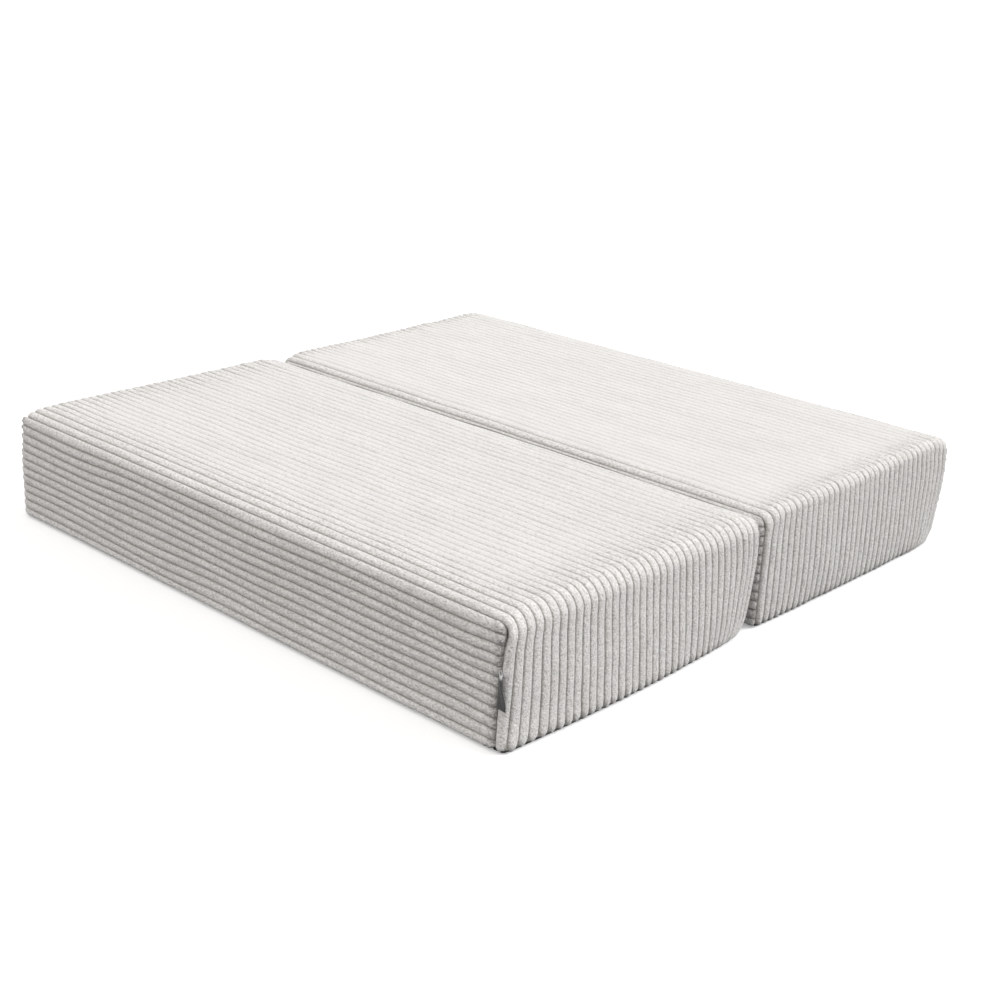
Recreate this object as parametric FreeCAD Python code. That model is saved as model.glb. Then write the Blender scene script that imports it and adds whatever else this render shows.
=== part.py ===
"""Two-section folding futon mattress: foam blocks in zipped corduroy covers.

Millimetres. +Z is up, +X runs along the ribs and the fold, +Y goes from the front block to the rear
block. The origin is on the floor under the middle of the opened mattress.
"""
import FreeCAD, Part
import math
import os

from FreeCAD import Vector

# Driving dimensions of one block and of the pair.
LENGTH = 1200.0            # along the fold
DEPTH = 600.0              # across the fold, one block
HEIGHT = 205.0             # floor to the top edges
EDGE_GAP = 3.0             # between the blocks' top edges

# Outer form of a block, seen along the fold (side corners) and across it (end corners).
TOP_SEAM_RADIUS = 10.0
FRONT_FOOT_RADIUS = 12.0
REAR_FOOT_RADIUS = 40.0
REAR_LEAN = 23.0           # how far the zipped side leans in at its foot
REAR_LEAN_HEIGHT = 120.0   # where that lean starts
LEAN_BEND_RADIUS = 150.0
END_TOP_RADIUS = 32.0
END_FOOT_RADIUS = 22.0
CORNER_RADIUS = 10.0       # the four upright corners

# Cover, liner and filling.
COVER_THICK = 5.0
LINER_THICK = 0.8
LAYER_CLEAR = 0.3
SUPPORT_FOAM_TOP = 112.0
COMFORT_FOAM_TOP = 180.0
BASE_MARGIN = 12.0         # from the base cloth's edge to where the corners begin to curve up

# Hinge strip, sewn down the front block's side and over the gap between the top edges.
STRIP_THICK = 1.2
STRIP_REACH = 5.0          # past the middle of the gap
STRIP_DROP = 0.4           # below the top edges
STRIP_TAIL = 16.0
STRIP_END_MARGIN = 34.0

# Zip on the rear-facing side of each block.
ZIP_HEIGHT = 48.0          # centre line above the floor, on the leaning wall
ZIP_LENGTH = 1080.0
ZIP_SLOT = 16.0
TAPE_THICK = 0.8
COIL_WIDTH = 3.6
COIL_THICK = 2.0
STOP_LENGTH = 4.0
SLIDER_LENGTH = 12.0
SLIDER_WALL = 1.0
SLIDER_CLEAR = 0.3
BAIL_HEIGHT = 2.6
BAIL_WIDTH = 5.0
BAIL_POST = 1.0
BAIL_BAR = 1.2             # diameter of the bar that the pull hangs on
EYE_WALL = 0.6
EYE_WIDTH = 2.6
PULL_NECK = 3.0            # from the bar to where the tab widens
PULL_LENGTH = 12.0
PULL_WIDTH = 6.5
PULL_THICK = 1.2
PIN_CLEAR = 0.05

# Folded label beside the front block's corner seam.
LABEL_HEIGHT = 56.0
LABEL_FOOT = 70.0          # its lower edge above the floor
LABEL_WIDTH = 17.0
LABEL_THICK = 0.9
LABEL_SEAM_MARGIN = 11.0   # from the block's side to the label's sewn edge

BLOCK_CENTRE = DEPTH / 2 + EDGE_GAP / 2
LEAN_SLOPE = REAR_LEAN / REAR_LEAN_HEIGHT
LEAN_ANGLE = math.degrees(math.atan(LEAN_SLOPE))


def write(shape, node):
    """Write one node's solids to its own file."""
    shape.exportStep("parts/" + node + ".step")


def rounded_face(points, radii, to_vector):
    """Closed face on a polygon whose corners are rounded by tangent arcs."""
    count = len(points)
    starts = []
    ends = []
    middles = []
    for index in range(count):
        corner = Vector(*points[index], 0)
        before = (Vector(*points[index - 1], 0) - corner).normalize()
        after = (Vector(*points[(index + 1) % count], 0) - corner).normalize()
        half = before.getAngle(after) / 2
        bisector = (before + after).normalize()
        reach = radii[index] / math.tan(half)
        starts.append(corner + before * reach)
        ends.append(corner + after * reach)
        middles.append(corner + bisector * (radii[index] / math.sin(half) - radii[index]))
    edges = []
    for index in range(count):
        arc = Part.Arc(to_vector(starts[index]), to_vector(middles[index]), to_vector(ends[index]))
        edges.append(arc.toShape())
        following = starts[(index + 1) % count]
        edges.append(Part.LineSegment(to_vector(ends[index]), to_vector(following)).toShape())
    return Part.Face(Part.Wire(edges))


def side_profile(inset):
    """Block section seen along the fold, drawn in Y and Z, shrunk by inset on every side."""
    half = DEPTH / 2
    foot = half - REAR_LEAN + LEAN_SLOPE * inset - inset / math.cos(math.radians(LEAN_ANGLE))
    bend = REAR_LEAN_HEIGHT + inset * math.tan(math.radians(LEAN_ANGLE) / 2)
    points = [
        (-half + inset, inset),
        (foot, inset),
        (half - inset, bend),
        (half - inset, HEIGHT - inset),
        (-half + inset, HEIGHT - inset),
    ]
    radii = [
        max(FRONT_FOOT_RADIUS - inset, 1.0),
        REAR_FOOT_RADIUS - inset,
        LEAN_BEND_RADIUS - inset,
        max(TOP_SEAM_RADIUS - inset, 1.0),
        max(TOP_SEAM_RADIUS - inset, 1.0),
    ]
    long_over = LENGTH / 2 + 1.0
    face = rounded_face(points, radii, lambda p: Vector(-long_over, p.x, p.y))
    return face.extrude(Vector(2 * long_over, 0, 0))


def end_profile(inset):
    """Block section seen across the fold, drawn in X and Z, shrunk by inset on every side."""
    half = LENGTH / 2 - inset
    points = [(-half, inset), (half, inset), (half, HEIGHT - inset), (-half, HEIGHT - inset)]
    foot_radius = END_FOOT_RADIUS - inset
    top_radius = END_TOP_RADIUS - inset
    wide_over = DEPTH / 2 + 1.0
    face = rounded_face(
        points,
        [foot_radius, foot_radius, top_radius, top_radius],
        lambda p: Vector(p.x, -wide_over, p.y),
    )
    return face.extrude(Vector(0, 2 * wide_over, 0))


def plan_profile(inset):
    """Block outline seen from above, shrunk by inset on every side."""
    half_x = LENGTH / 2 - inset
    half_y = DEPTH / 2 - inset
    points = [(-half_x, -half_y), (half_x, -half_y), (half_x, half_y), (-half_x, half_y)]
    radius = max(CORNER_RADIUS - inset, 1.0)
    face = rounded_face(points, [radius] * 4, lambda p: Vector(p.x, p.y, -1.0))
    return face.extrude(Vector(0, 0, HEIGHT + 2.0))


def block_form(inset):
    """The block's rounded form, shrunk by inset on every side."""
    return side_profile(inset).common(end_profile(inset)).common(plan_profile(inset))


def slab(low, high):
    """A box between two corners."""
    size = Vector(*high) - Vector(*low)
    return Part.makeBox(size.x, size.y, size.z, Vector(*low))


def zip_frame(shape):
    """Place a shape drawn on the XZ plane, outward along +Y, on the leaning wall at the zip."""
    wall_y = DEPTH / 2 - REAR_LEAN + LEAN_SLOPE * ZIP_HEIGHT
    shape.rotate(Vector(0, 0, 0), Vector(1, 0, 0), -LEAN_ANGLE)
    shape.translate(Vector(0, wall_y, ZIP_HEIGHT))
    return shape


def cover_panels():
    """The four panels of one block's cover."""
    shell = block_form(0.0).cut(block_form(COVER_THICK))
    over_x = LENGTH / 2 + 2.0
    over_y = DEPTH / 2 + 2.0
    inner_y = DEPTH / 2 - COVER_THICK
    base_x = LENGTH / 2 - END_FOOT_RADIUS - BASE_MARGIN
    base_front = -DEPTH / 2 + FRONT_FOOT_RADIUS
    base_rear = DEPTH / 2 - REAR_LEAN - REAR_FOOT_RADIUS
    bend_top = REAR_LEAN_HEIGHT + LEAN_BEND_RADIUS / 4
    base_zone = slab((-base_x, base_front, -1.0), (base_x, base_rear, COVER_THICK + 1.0))
    outer_zone = slab((-over_x, -over_y, -1.0), (over_x, -inner_y, HEIGHT + 1.0))
    inner_zone = slab((-over_x, base_rear, -1.0), (over_x, over_y, bend_top))
    inner_zone = inner_zone.cut(side_profile(COVER_THICK))
    inner_zone = inner_zone.fuse(slab((-over_x, inner_y, bend_top - 1.0), (over_x, over_y, HEIGHT + 1.0)))
    zip_slot = slab(
        (-ZIP_LENGTH / 2, -3 * COVER_THICK, -ZIP_SLOT / 2),
        (ZIP_LENGTH / 2, 3 * COVER_THICK, ZIP_SLOT / 2),
    )
    outer_side = shell.common(outer_zone).cut(base_zone)
    inner_side = shell.common(inner_zone).cut(base_zone).cut(zip_frame(zip_slot))
    top_panel = shell.cut(outer_zone).cut(inner_zone).cut(base_zone)
    return {
        "top_panel": top_panel,
        "outer_side_panel": outer_side,
        "inner_side_panel": inner_side,
        "base_panel": shell.common(base_zone),
    }


def filling():
    """Liner, foam layers and wadding of one block."""
    liner_inset = COVER_THICK + LAYER_CLEAR
    fill_inset = liner_inset + LINER_THICK + LAYER_CLEAR
    liner = block_form(liner_inset).cut(block_form(liner_inset + LINER_THICK))
    fill = block_form(fill_inset)
    over_x = LENGTH / 2
    over_y = DEPTH / 2
    levels = [0.0, SUPPORT_FOAM_TOP, COMFORT_FOAM_TOP, HEIGHT]
    layers = []
    for low, high in zip(levels[:-1], levels[1:]):
        layers.append(fill.common(slab((-over_x, -over_y, low), (over_x, over_y, high))))
    return {
        "liner": liner,
        "support_foam": layers[0],
        "comfort_foam": layers[1],
        "fibre_pad": layers[2],
    }


def zip_closure():
    """Tapes, coil, stops, slider and pull of one block's zip, closed, with the slider at the +X end."""
    half = ZIP_LENGTH / 2
    coil_end = half - STOP_LENGTH
    coil_side = COIL_WIDTH / 2
    seat = -COVER_THICK / 2
    tape_top = seat + TAPE_THICK
    coil_top = seat + COIL_THICK
    upper_tape = slab((-half, seat, coil_side), (half, tape_top, ZIP_SLOT / 2))
    lower_tape = slab((-half, seat, -ZIP_SLOT / 2), (half, tape_top, -coil_side))
    coil = slab((-coil_end, seat, -coil_side), (coil_end, coil_top, coil_side))
    stop_top = coil_top + SLIDER_WALL
    stops = Part.makeCompound([
        slab((-half, seat, -coil_side), (-coil_end, stop_top, coil_side)),
        slab((coil_end, seat, -coil_side), (half, stop_top, coil_side)),
    ])
    # The slider is a channel over the coil; a bail on its face carries the pull.
    head = coil_end - SLIDER_CLEAR
    tail = head - SLIDER_LENGTH
    channel_side = coil_side + SLIDER_CLEAR
    channel_top = coil_top + SLIDER_CLEAR
    body_side = channel_side + SLIDER_WALL
    body_top = channel_top + SLIDER_WALL
    foot = tape_top + SLIDER_CLEAR
    slider = slab((tail, foot, -body_side), (head, body_top, body_side))
    slider = slider.cut(slab((tail - 1, foot - 1, -channel_side), (head + 1, channel_top, channel_side)))
    pivot_x = head - SLIDER_LENGTH / 2
    pivot_y = body_top + BAIL_HEIGHT - BAIL_BAR / 2
    bar_radius = BAIL_BAR / 2
    for low_z in (-BAIL_WIDTH / 2, BAIL_WIDTH / 2 - BAIL_POST):
        slider = slider.fuse(slab(
            (pivot_x - bar_radius, body_top, low_z),
            (pivot_x + bar_radius, pivot_y, low_z + BAIL_POST),
        ))
    bar_foot = Vector(pivot_x, pivot_y, -BAIL_WIDTH / 2)
    slider = slider.fuse(Part.makeCylinder(bar_radius, BAIL_WIDTH, bar_foot, Vector(0, 0, 1)))
    # The pull is a flat tab with an eye round the bail's bar.
    eye_radius = bar_radius + PIN_CLEAR + EYE_WALL
    eye_foot = Vector(pivot_x, pivot_y, -EYE_WIDTH / 2)
    pull = Part.makeCylinder(eye_radius, EYE_WIDTH, eye_foot, Vector(0, 0, 1))
    tab_low = pivot_y - PULL_THICK / 2
    tab_high = pivot_y + PULL_THICK / 2
    neck_end = pivot_x - PULL_NECK
    pull = pull.fuse(slab((neck_end, tab_low, -EYE_WIDTH / 2), (pivot_x, tab_high, EYE_WIDTH / 2)))
    tab_end = pivot_x - PULL_LENGTH
    tab = slab((tab_end, tab_low, -PULL_WIDTH / 2), (neck_end, tab_high, PULL_WIDTH / 2))
    corners = [e for e in tab.Edges if abs(e.BoundBox.YLength - PULL_THICK) < 0.01]
    pull = pull.fuse(tab.makeFillet(PULL_WIDTH / 5, corners))
    hole = Part.makeCylinder(bar_radius + PIN_CLEAR, EYE_WIDTH + 2, eye_foot - Vector(0, 0, 1), Vector(0, 0, 1))
    pull = pull.cut(hole)
    return {
        "zip_tape_upper": upper_tape,
        "zip_tape_lower": lower_tape,
        "zip_coil": coil,
        "zip_stops": stops,
        "zip_slider": slider.removeSplitter(),
        "zip_pull": pull.removeSplitter(),
    }


def hinge_strip():
    """Cloth strip that joins the blocks along their top edges, seen as an L across the gap."""
    half = LENGTH / 2 - STRIP_END_MARGIN
    wall = -EDGE_GAP / 2
    top = HEIGHT - STRIP_DROP
    tail = slab((-half, wall, top - STRIP_TAIL), (half, wall + STRIP_THICK, top))
    flap = slab((-half, wall, top - STRIP_THICK), (half, STRIP_REACH, top))
    return tail.fuse(flap).removeSplitter()


def corner_label():
    """Folded label, flat against the front block's +X end beside the corner seam."""
    end = LENGTH / 2
    seam = -BLOCK_CENTRE - DEPTH / 2 + LABEL_SEAM_MARGIN
    low = (end, seam, LABEL_FOOT)
    high = (end + LABEL_THICK, seam + LABEL_WIDTH, LABEL_FOOT + LABEL_HEIGHT)
    return slab(low, high)


def main():
    """Write every node of both blocks, then the pieces that join or mark them."""
    os.makedirs("parts", exist_ok=True)
    block = dict(cover_panels())
    block.update(filling())
    for name, shape in zip_closure().items():
        block[name] = zip_frame(shape)
    for prefix, side in (("front_", -1), ("rear_", 1)):
        for name, shape in block.items():
            placed = shape.copy()
            placed.translate(Vector(0, side * BLOCK_CENTRE, 0))
            write(placed, prefix + name)
    write(hinge_strip(), "hinge_strip")
    write(corner_label(), "corner_label")


main()
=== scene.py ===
"""Looks of the two-section folding futon mattress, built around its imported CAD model.

Metres, in the CAD frame: +Z up, +X along the ribs and the fold line, +Y from the front block to the
rear block. Every block is worked in its own frame first, with the origin on the floor under its middle.
"""
import math

import bmesh
import bpy
import numpy as np
from mathutils import Matrix, Vector, kdtree


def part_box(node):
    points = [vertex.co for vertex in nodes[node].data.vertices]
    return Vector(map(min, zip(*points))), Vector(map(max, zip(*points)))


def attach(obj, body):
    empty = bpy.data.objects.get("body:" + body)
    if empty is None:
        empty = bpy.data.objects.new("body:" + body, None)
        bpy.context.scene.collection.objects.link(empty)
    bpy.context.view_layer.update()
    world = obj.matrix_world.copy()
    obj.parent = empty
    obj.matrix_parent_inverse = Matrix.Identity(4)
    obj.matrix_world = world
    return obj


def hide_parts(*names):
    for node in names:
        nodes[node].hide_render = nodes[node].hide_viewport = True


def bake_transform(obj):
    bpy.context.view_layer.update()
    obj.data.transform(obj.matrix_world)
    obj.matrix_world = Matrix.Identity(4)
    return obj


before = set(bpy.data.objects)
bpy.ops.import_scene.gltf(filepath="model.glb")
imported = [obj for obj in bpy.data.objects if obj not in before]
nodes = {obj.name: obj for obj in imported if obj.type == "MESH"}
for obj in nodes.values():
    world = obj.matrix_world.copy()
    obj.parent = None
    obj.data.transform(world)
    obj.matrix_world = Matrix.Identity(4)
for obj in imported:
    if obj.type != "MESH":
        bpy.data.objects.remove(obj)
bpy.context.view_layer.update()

# ---- dimensions from the frame
top_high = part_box("front_top_panel")[1]
side_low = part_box("front_outer_side_panel")[0]
inner_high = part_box("front_inner_side_panel")[1]
rear_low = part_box("rear_outer_side_panel")[0]
tape_low, tape_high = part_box("front_zip_tape_upper")
foam_low, foam_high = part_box("front_comfort_foam")
strip_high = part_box("hinge_strip")[1]
label_low, label_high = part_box("corner_label")

CAD_HALF_DEPTH = (inner_high.y - side_low.y) / 2
FRONT_CENTRE = (inner_high.y + side_low.y) / 2
REAR_CENTRE = rear_low.y + CAD_HALF_DEPTH
BLOCKS = (("front", FRONT_CENTRE), ("rear", REAR_CENTRE))

# Corduroy. The form of a block is drawn at groove level, and the ribs stand on it.
TOP_RIBS = 36
SIDE_RIBS = 12
RIB_HEIGHT = 0.0046
RIB_SINK = 0.0041  # of the grooves below the CAD skin
RIB_FRACTIONS = (0.0, 0.05, 0.13, 0.25, 0.42, 0.58, 0.75, 0.87, 0.95)  # where a rib has mesh lines

# Rounded form of a block
HALF_LENGTH = top_high.x - RIB_SINK
HALF_DEPTH = CAD_HALF_DEPTH - RIB_SINK
TOP = top_high.z - RIB_SINK
FOOT = RIB_HEIGHT
FRONT_BEND = 0.026  # of the top panel over a block's ends
REAR_BEND = 0.013
END_FOOT_RADIUS = 0.010  # of its turn in under the block
END_FOOT_TURN = math.radians(72)
EDGE_DROP = 0.0070  # the long top edges are pulled below the crown
EDGE_DROP_REACH = 0.060
FRONT_SAG = 0.009  # how far the ends of a block bulge at the foot
REAR_SAG = 0.004
SAG_HEIGHT = 0.040
SEAM_DEPTH = 0.0030  # how far the cloth turns in at a seam
SEAM_REACH = 0.0035

# How the blocks have settled in use
SPREAD_HEIGHT = 0.060  # the front block's foot spreads towards its near end
FOOT_SPREAD = 0.006
END_STRETCH = 0.004  # a block is drawn out at its ends
END_REACH = 0.3
FAR_END_STRETCH = 0.014  # the front block's far end more, and most at its foot
FAR_FOOT_STRETCH = 0.009
FAR_END_FALL = 0.13
FAR_REACH = 0.40  # the rear block's far edge stands out and up
FAR_STRETCH = 0.003
FAR_LIFT = 0.005
CORNER_SLIP = 0.016  # of the front block's covers round its outer vertical corners
SLIP_REACH = 0.10
SLIP_DEPTH = 0.014
NEAR_CORNER = 0.010  # plan radii of those corners
FAR_CORNER = 0.030

# A side panel is rolled over the block's edges, by a radius of its own at each, up to its seam.
ROLL_TURN = math.radians(60)
TOP_ROLL = 0.014
END_ROLL = 0.008
FOOT_ROLL = 0.0035
TOP_CORNER = 0.010  # corner radii of the panel's flat middle
FOOT_CORNER = 0.002

SIDE_TOP = TOP - EDGE_DROP
CORE_LOW = FOOT + FOOT_ROLL
CORE_HIGH = SIDE_TOP - TOP_ROLL
CORE_HALF = HALF_LENGTH - END_ROLL
SEAM_RISE = 1 - math.cos(ROLL_TURN)  # the share of a roll's radius that its seam stands in
SEAM_REST = 1 - math.sin(ROLL_TURN)  # and that it stays short of the full size
TOP_HALF_WIDTH = HALF_DEPTH - TOP_ROLL * SEAM_RISE
RIB_PITCH = 2 * TOP_HALF_WIDTH / TOP_RIBS

# Pile pressed down on the flat of the tops
TOP_FLATTENING = 0.42  # how much shallower the grooves are there, and how much less painted shade they get
REAR_FLATTER = 2.1  # and how many times that on the rear block
PRESSED_RIBS = 0.25  # how much lower the ribs are
FRONT_SMOOTHING = 0.5  # how much smoother the pile is, and how much painted shade darkens it
REAR_SMOOTHING = 0.7
PLAIN_EDGE_PLUMP = 0.085  # strip along the front block's outer edge where the ribs stay plump
EDGE_PLUMP = 0.025  # and along the other long edges
FRONT_END_PLUMP = 0.11  # and at the ends
REAR_END_PLUMP = 0.045

# Leaning, zipped side
LEAN = 0.023  # how far in its foot would stand without its turn
LEAN_HEIGHT = 0.120
FOOT_RADIUS = 0.034  # of the turn of its foot
LEAN_REACH = 0.16  # how deep in the block the lean is felt
ZIP_HEIGHT = (tape_low.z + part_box("front_zip_tape_lower")[1].z) / 2
ZIP_HALF_LENGTH = tape_high.x
ZIP_HALF_SLOT = 0.0088  # half-height of the flat band along the zip
ZIP_RISE = 0.0009  # of that band above the grooves
ZIP_BAND_END = 0.006
ZIP_CALM = 0.03  # half-height of the stretch by the zip that the padding doesn't swell
ZIP_RIBS_ABOVE = 7
TOOTH_PITCH = 0.002
TOOTH_HALF_WIDTH = 0.0018
TOOTH_HALF_LENGTH = 0.00075
TOOTH_HALF_DEPTH = 0.0009
TOOTH_STAGGER = 0.00035
TOOTH_ROUND = 8  # points round a tooth

# Cover details
FIRST_GROOVE = 0.1785  # height of a side panel's highest groove
FINE_END = 0.07  # stretch at each end of a side panel where its mesh is finer
TOP_SWAY = 0.0013  # how far the ribs wander
SIDE_SWAY = 0.0016
ZIPPED_SWAY = 0.0004
TOP_UNDULATION = 0.0004  # unevenness of the cloth
SIDE_UNDULATION = 0.0008
GAP_UNDULATION = 0.0002
KNOB_REACH = 0.008  # over which a rib's end is rounded at a vertical seam
KNOB = 0.30  # how much thicker a rib is before that
GAP_KNOB = 0.10
CRUMPLE = 0.0020  # of the rib ends at the vertical seams
CRUMPLE_REACH = 0.016
RUFFLED_NAP = 1.3  # how much rougher the pile is at those seams
RUFFLED_REACH = 0.012
FOOT_NOTCH = 0.0055  # how far the cloth is drawn up between the feet of an end's ribs
FOOT_NARROWING = 3.0  # of those feet
BASE_LEVEL = 0.0010  # of the flat of the base cloth
BASE_CURL = math.radians(66)  # of its turn up under an end panel
BASE_CURL_RADIUS = END_FOOT_RADIUS + 0.0028
BASE_TURN = 0.016  # width of its rise to a side panel
BASE_INSET = 0.0005
SIDE_FOOT_SEAM = FOOT + FOOT_ROLL * SEAM_REST

# Hinge strip and label
STRIP_RIDGE = 0.1925  # height of the fold that the strip makes at rest
STRIP_HALF_SECTION = ((-0.0052, 0.1885), (-0.0030, 0.1890), (-0.0017, 0.1905), (-0.0012, 0.1918))
STRIP_THICKNESS = 0.0009
LABEL_THICKNESS = 0.0004
LABEL_FOLD = 0.05  # how far its folded edge bulges, as a share of its width
LABEL_OPEN_FOOT = 0.0016  # how far its two leaves stand apart
LABEL_OPEN_TOP = 0.0030
LABEL_DROOP = 0.003
LABEL_FOOT_TURN = math.radians(84)
LABEL_TOP_TURN = math.radians(132)
LABEL_ROOT = 0.45  # share of its width in which the label turns away from the seam

# Padding
CELL = 0.028  # of the coarse shell that is put under pressure
START_UNEVENNESS = 0.0006
PUFF_PRESSURE = 3.0
PUFF_FRAMES = 20
PUFF_LIMIT = 0.0038  # no point moves further than this
TOP_PUFF = 0.3  # share of the swelling that the pressed top keeps
GAP_PUFF = 0.12  # and the sides where the two blocks press together

# Layers inside the cover
FILLING_CORNER = 0.022  # plan radius of their vertical corners
LINER_INSET = 0.012
FOAM_INSET = 0.014
LAYER_GAP = 0.0003

# Pile colour, and the painted shade in the grooves
CORD_PILE = (0.90, 0.885, 0.872)
CORD_GROOVE_SHADE = (0.37, 0.345, 0.32)

# Camera, where the photograph was taken from
CAMERA_PLACE = (1.9038, -2.0610, 1.1059)
CAMERA_RIGHT = (0.729, 0.683, 0.041)
CAMERA_FORWARD = (-0.630, 0.693, -0.350)
CAMERA_LENS = 58.1  # mm, on a 36 mm sensor


# ---- small helpers
def smooth(x):
    """Smooth step from 0 to 1."""
    x = np.clip(x, 0.0, 1.0)
    return x * x * (3 - 2 * x)


def waves(a, b, seed, count=6, lowest=1.0, highest=4.0):
    """Smooth seeded noise of two arrays in metres, about -1 to 1: a sum of plane waves."""
    rng = np.random.default_rng(seed)
    total = np.zeros(np.broadcast(a, b).shape)
    for _ in range(count):
        angle = rng.uniform(0, 2 * math.pi)
        size = rng.uniform(lowest, highest)
        phase = rng.uniform(0, 2 * math.pi)
        total += np.sin(2 * math.pi * size * (a * math.cos(angle) + b * math.sin(angle)) + phase)
    return total / math.sqrt(count)


def arc(x, z, radius, angles):
    """Points (x, z) of an arc round a centre."""
    return np.stack([x + radius * np.cos(angles), z + radius * np.sin(angles)], -1)


def distances(path):
    """Distance along a path at each of its points."""
    return np.concatenate([[0], np.cumsum(np.linalg.norm(np.diff(path, axis=0), axis=1))])


def link(made):
    """Adds an object to the scene."""
    bpy.context.scene.collection.objects.link(made)
    return made


def grid_object(name, points, uv, rib=None, nap=None):
    """Mesh object on a grid of points, with a UV map and two point attributes: the rib height, which masks
    the painted shade in the grooves, and how rough the pile stands, which also masks the painted shade on the
    pressed top."""
    rows, cols = points.shape[:2]
    index = np.arange(rows * cols).reshape(rows, cols)
    quads = np.stack([index[:-1, :-1], index[1:, :-1], index[1:, 1:], index[:-1, 1:]], axis=-1)
    quads = quads.reshape(-1, 4)
    mesh = bpy.data.meshes.new(name)
    mesh.from_pydata(points.reshape(-1, 3).tolist(), [], quads.tolist())
    layer = mesh.uv_layers.new(name="UVMap")
    flat_uv = uv.reshape(-1, 2)[quads.reshape(-1)]
    layer.data.foreach_set("uv", flat_uv.astype(np.float32).ravel())
    for label, values in (("rib", rib), ("nap", nap)):
        attribute = mesh.attributes.new(label, "FLOAT", "POINT")
        values = np.ones(rows * cols) if values is None else values.ravel()
        attribute.data.foreach_set("value", values.astype(np.float32))
    mesh.polygons.foreach_set("use_smooth", np.ones(len(mesh.polygons), bool))
    mesh.update()
    return link(bpy.data.objects.new(name, mesh))


def grid_normals(points):
    """Unit normals of a grid of points, from its own differences."""
    along = np.gradient(points, axis=0)
    across = np.gradient(points, axis=1)
    normal = np.cross(along, across)
    return normal / np.maximum(np.linalg.norm(normal, axis=-1, keepdims=True), 1e-12)


def rib_profile(phase):
    """Height of a rib, 0 in the groove to 1 on the crest, from its phase."""
    u = phase - np.floor(phase)
    return np.power(np.maximum(1 - np.abs(2 * u - 1) ** 2.2, 0), 0.6)


def rib_phases(ribs):
    """Phases of the mesh lines across a number of ribs."""
    return np.append((np.arange(ribs)[:, None] + np.array(RIB_FRACTIONS)).ravel(), ribs)


def seam_dip(distance):
    """How deep the cloth turns in towards a seam at that distance from it."""
    return SEAM_DEPTH * np.clip(1 - distance / SEAM_REACH, 0, 1) ** 2


# ---- block form
def lean_shift(z):
    """How far the zipped side stands in from upright at height z."""
    share = (LEAN_HEIGHT - z) / LEAN_HEIGHT
    leaning = LEAN * 0.5 * (share + np.sqrt(share ** 2 + 0.01))
    foot = np.clip(FOOT_RADIUS + FOOT - z, 0, FOOT_RADIUS)
    return leaning + FOOT_RADIUS - np.sqrt(FOOT_RADIUS ** 2 - foot ** 2 + 1e-9)


def lean_in(points):
    """Moves points of an upright block in where its zipped side leans."""
    weight = smooth((points[..., 1] - (HALF_DEPTH - LEAN_REACH)) / LEAN_REACH) ** 1.5
    moved = points.copy()
    moved[..., 1] -= weight * lean_shift(points[..., 2])
    return moved


def slip_corner(points, end, radius):
    """Carries the covers round a vertical corner of the plain side, at the +X or the -X end, towards -X, by
    CORNER_SLIP at the foot and less above, and rounds the corner to the radius in plan. A point keeps its
    depth below the covers."""
    x, y, z = np.moveaxis(points, -1, 0)
    tight = END_ROLL
    in_x = HALF_LENGTH - end * x
    in_y = y + HALF_DEPTH
    round_x = tight - in_x
    round_y = tight - in_y
    turn = np.arctan2(np.maximum(round_y, 0), np.maximum(round_x, 1e-9))
    in_turn = (round_x > 0) & (round_y > 0)
    on_end = ~in_turn & (in_y - in_x > 0)
    way = np.where(on_end, in_y - tight + tight * math.pi / 4, tight - in_x - tight * math.pi / 4)
    way = np.where(in_turn, tight * (math.pi / 4 - turn), way)
    depth = np.where(on_end, in_x, in_y)
    depth = np.where(in_turn, tight - np.hypot(round_x, round_y), depth)
    far = smooth(np.abs(way) / SLIP_REACH)
    shorter = (radius - tight) * (1 - math.pi / 4)
    slip = CORNER_SLIP * np.clip((TOP - z) / TOP, 0, 1) ** 0.7
    slipped = way - np.sign(way) * shorter * far - end * slip * (1 - far)
    angle = math.pi / 4 - slipped / radius
    past_arc = radius - radius * math.pi / 4
    new_x = np.where(angle < 0, depth, radius - (radius - depth) * np.cos(angle))
    new_y = np.where(angle < 0, slipped + past_arc, radius - (radius - depth) * np.sin(angle))
    over = angle > math.pi / 2
    new_x = np.where(over, past_arc - slipped, new_x)
    new_y = np.where(over, depth, new_y)
    share = np.exp(-(np.clip(depth, 0, None) / SLIP_DEPTH) ** 2)
    moved = points.copy()
    moved[..., 0] = end * (HALF_LENGTH - (in_x + (new_x - in_x) * share))
    moved[..., 1] = in_y + (new_y - in_y) * share - HALF_DEPTH
    return moved


def settle(points, rear):
    """Moves points of an upright block to where they lie in use: the zipped side leans, the ends are drawn
    out, the front block's corners slip and its foot spreads, and the rear block's far edge stands higher."""
    if not rear:
        points = slip_corner(points, 1, NEAR_CORNER)
        points = slip_corner(points, -1, FAR_CORNER)
    moved = lean_in(points)
    x, y, z = np.moveaxis(points, -1, 0)
    foot = smooth((SPREAD_HEIGHT - z) / SPREAD_HEIGHT)
    sagging = FAR_FOOT_STRETCH * smooth((TOP - z) / FAR_END_FALL)
    stretch = np.where(x > 0, END_STRETCH, -END_STRETCH if rear else -FAR_END_STRETCH - sagging)
    moved[..., 0] += stretch * smooth((np.abs(x) - HALF_LENGTH + END_REACH) / END_REACH)
    if rear:
        far = smooth((y - HALF_DEPTH + FAR_REACH) / FAR_REACH)
        moved[..., 1] += FAR_STRETCH * far
        moved[..., 2] += FAR_LIFT * far * smooth((z - 0.06) / 0.10)
    else:
        near_end = smooth((x + HALF_LENGTH) / (2 * HALF_LENGTH))
        moved[..., 1] -= FOOT_SPREAD * foot * near_end * smooth((-y - 0.1) / 0.2)
        moved[..., 0] += FOOT_SPREAD * foot * smooth((x - 0.35) / 0.2) * smooth((0.25 - y) / 0.3)
    return moved


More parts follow.
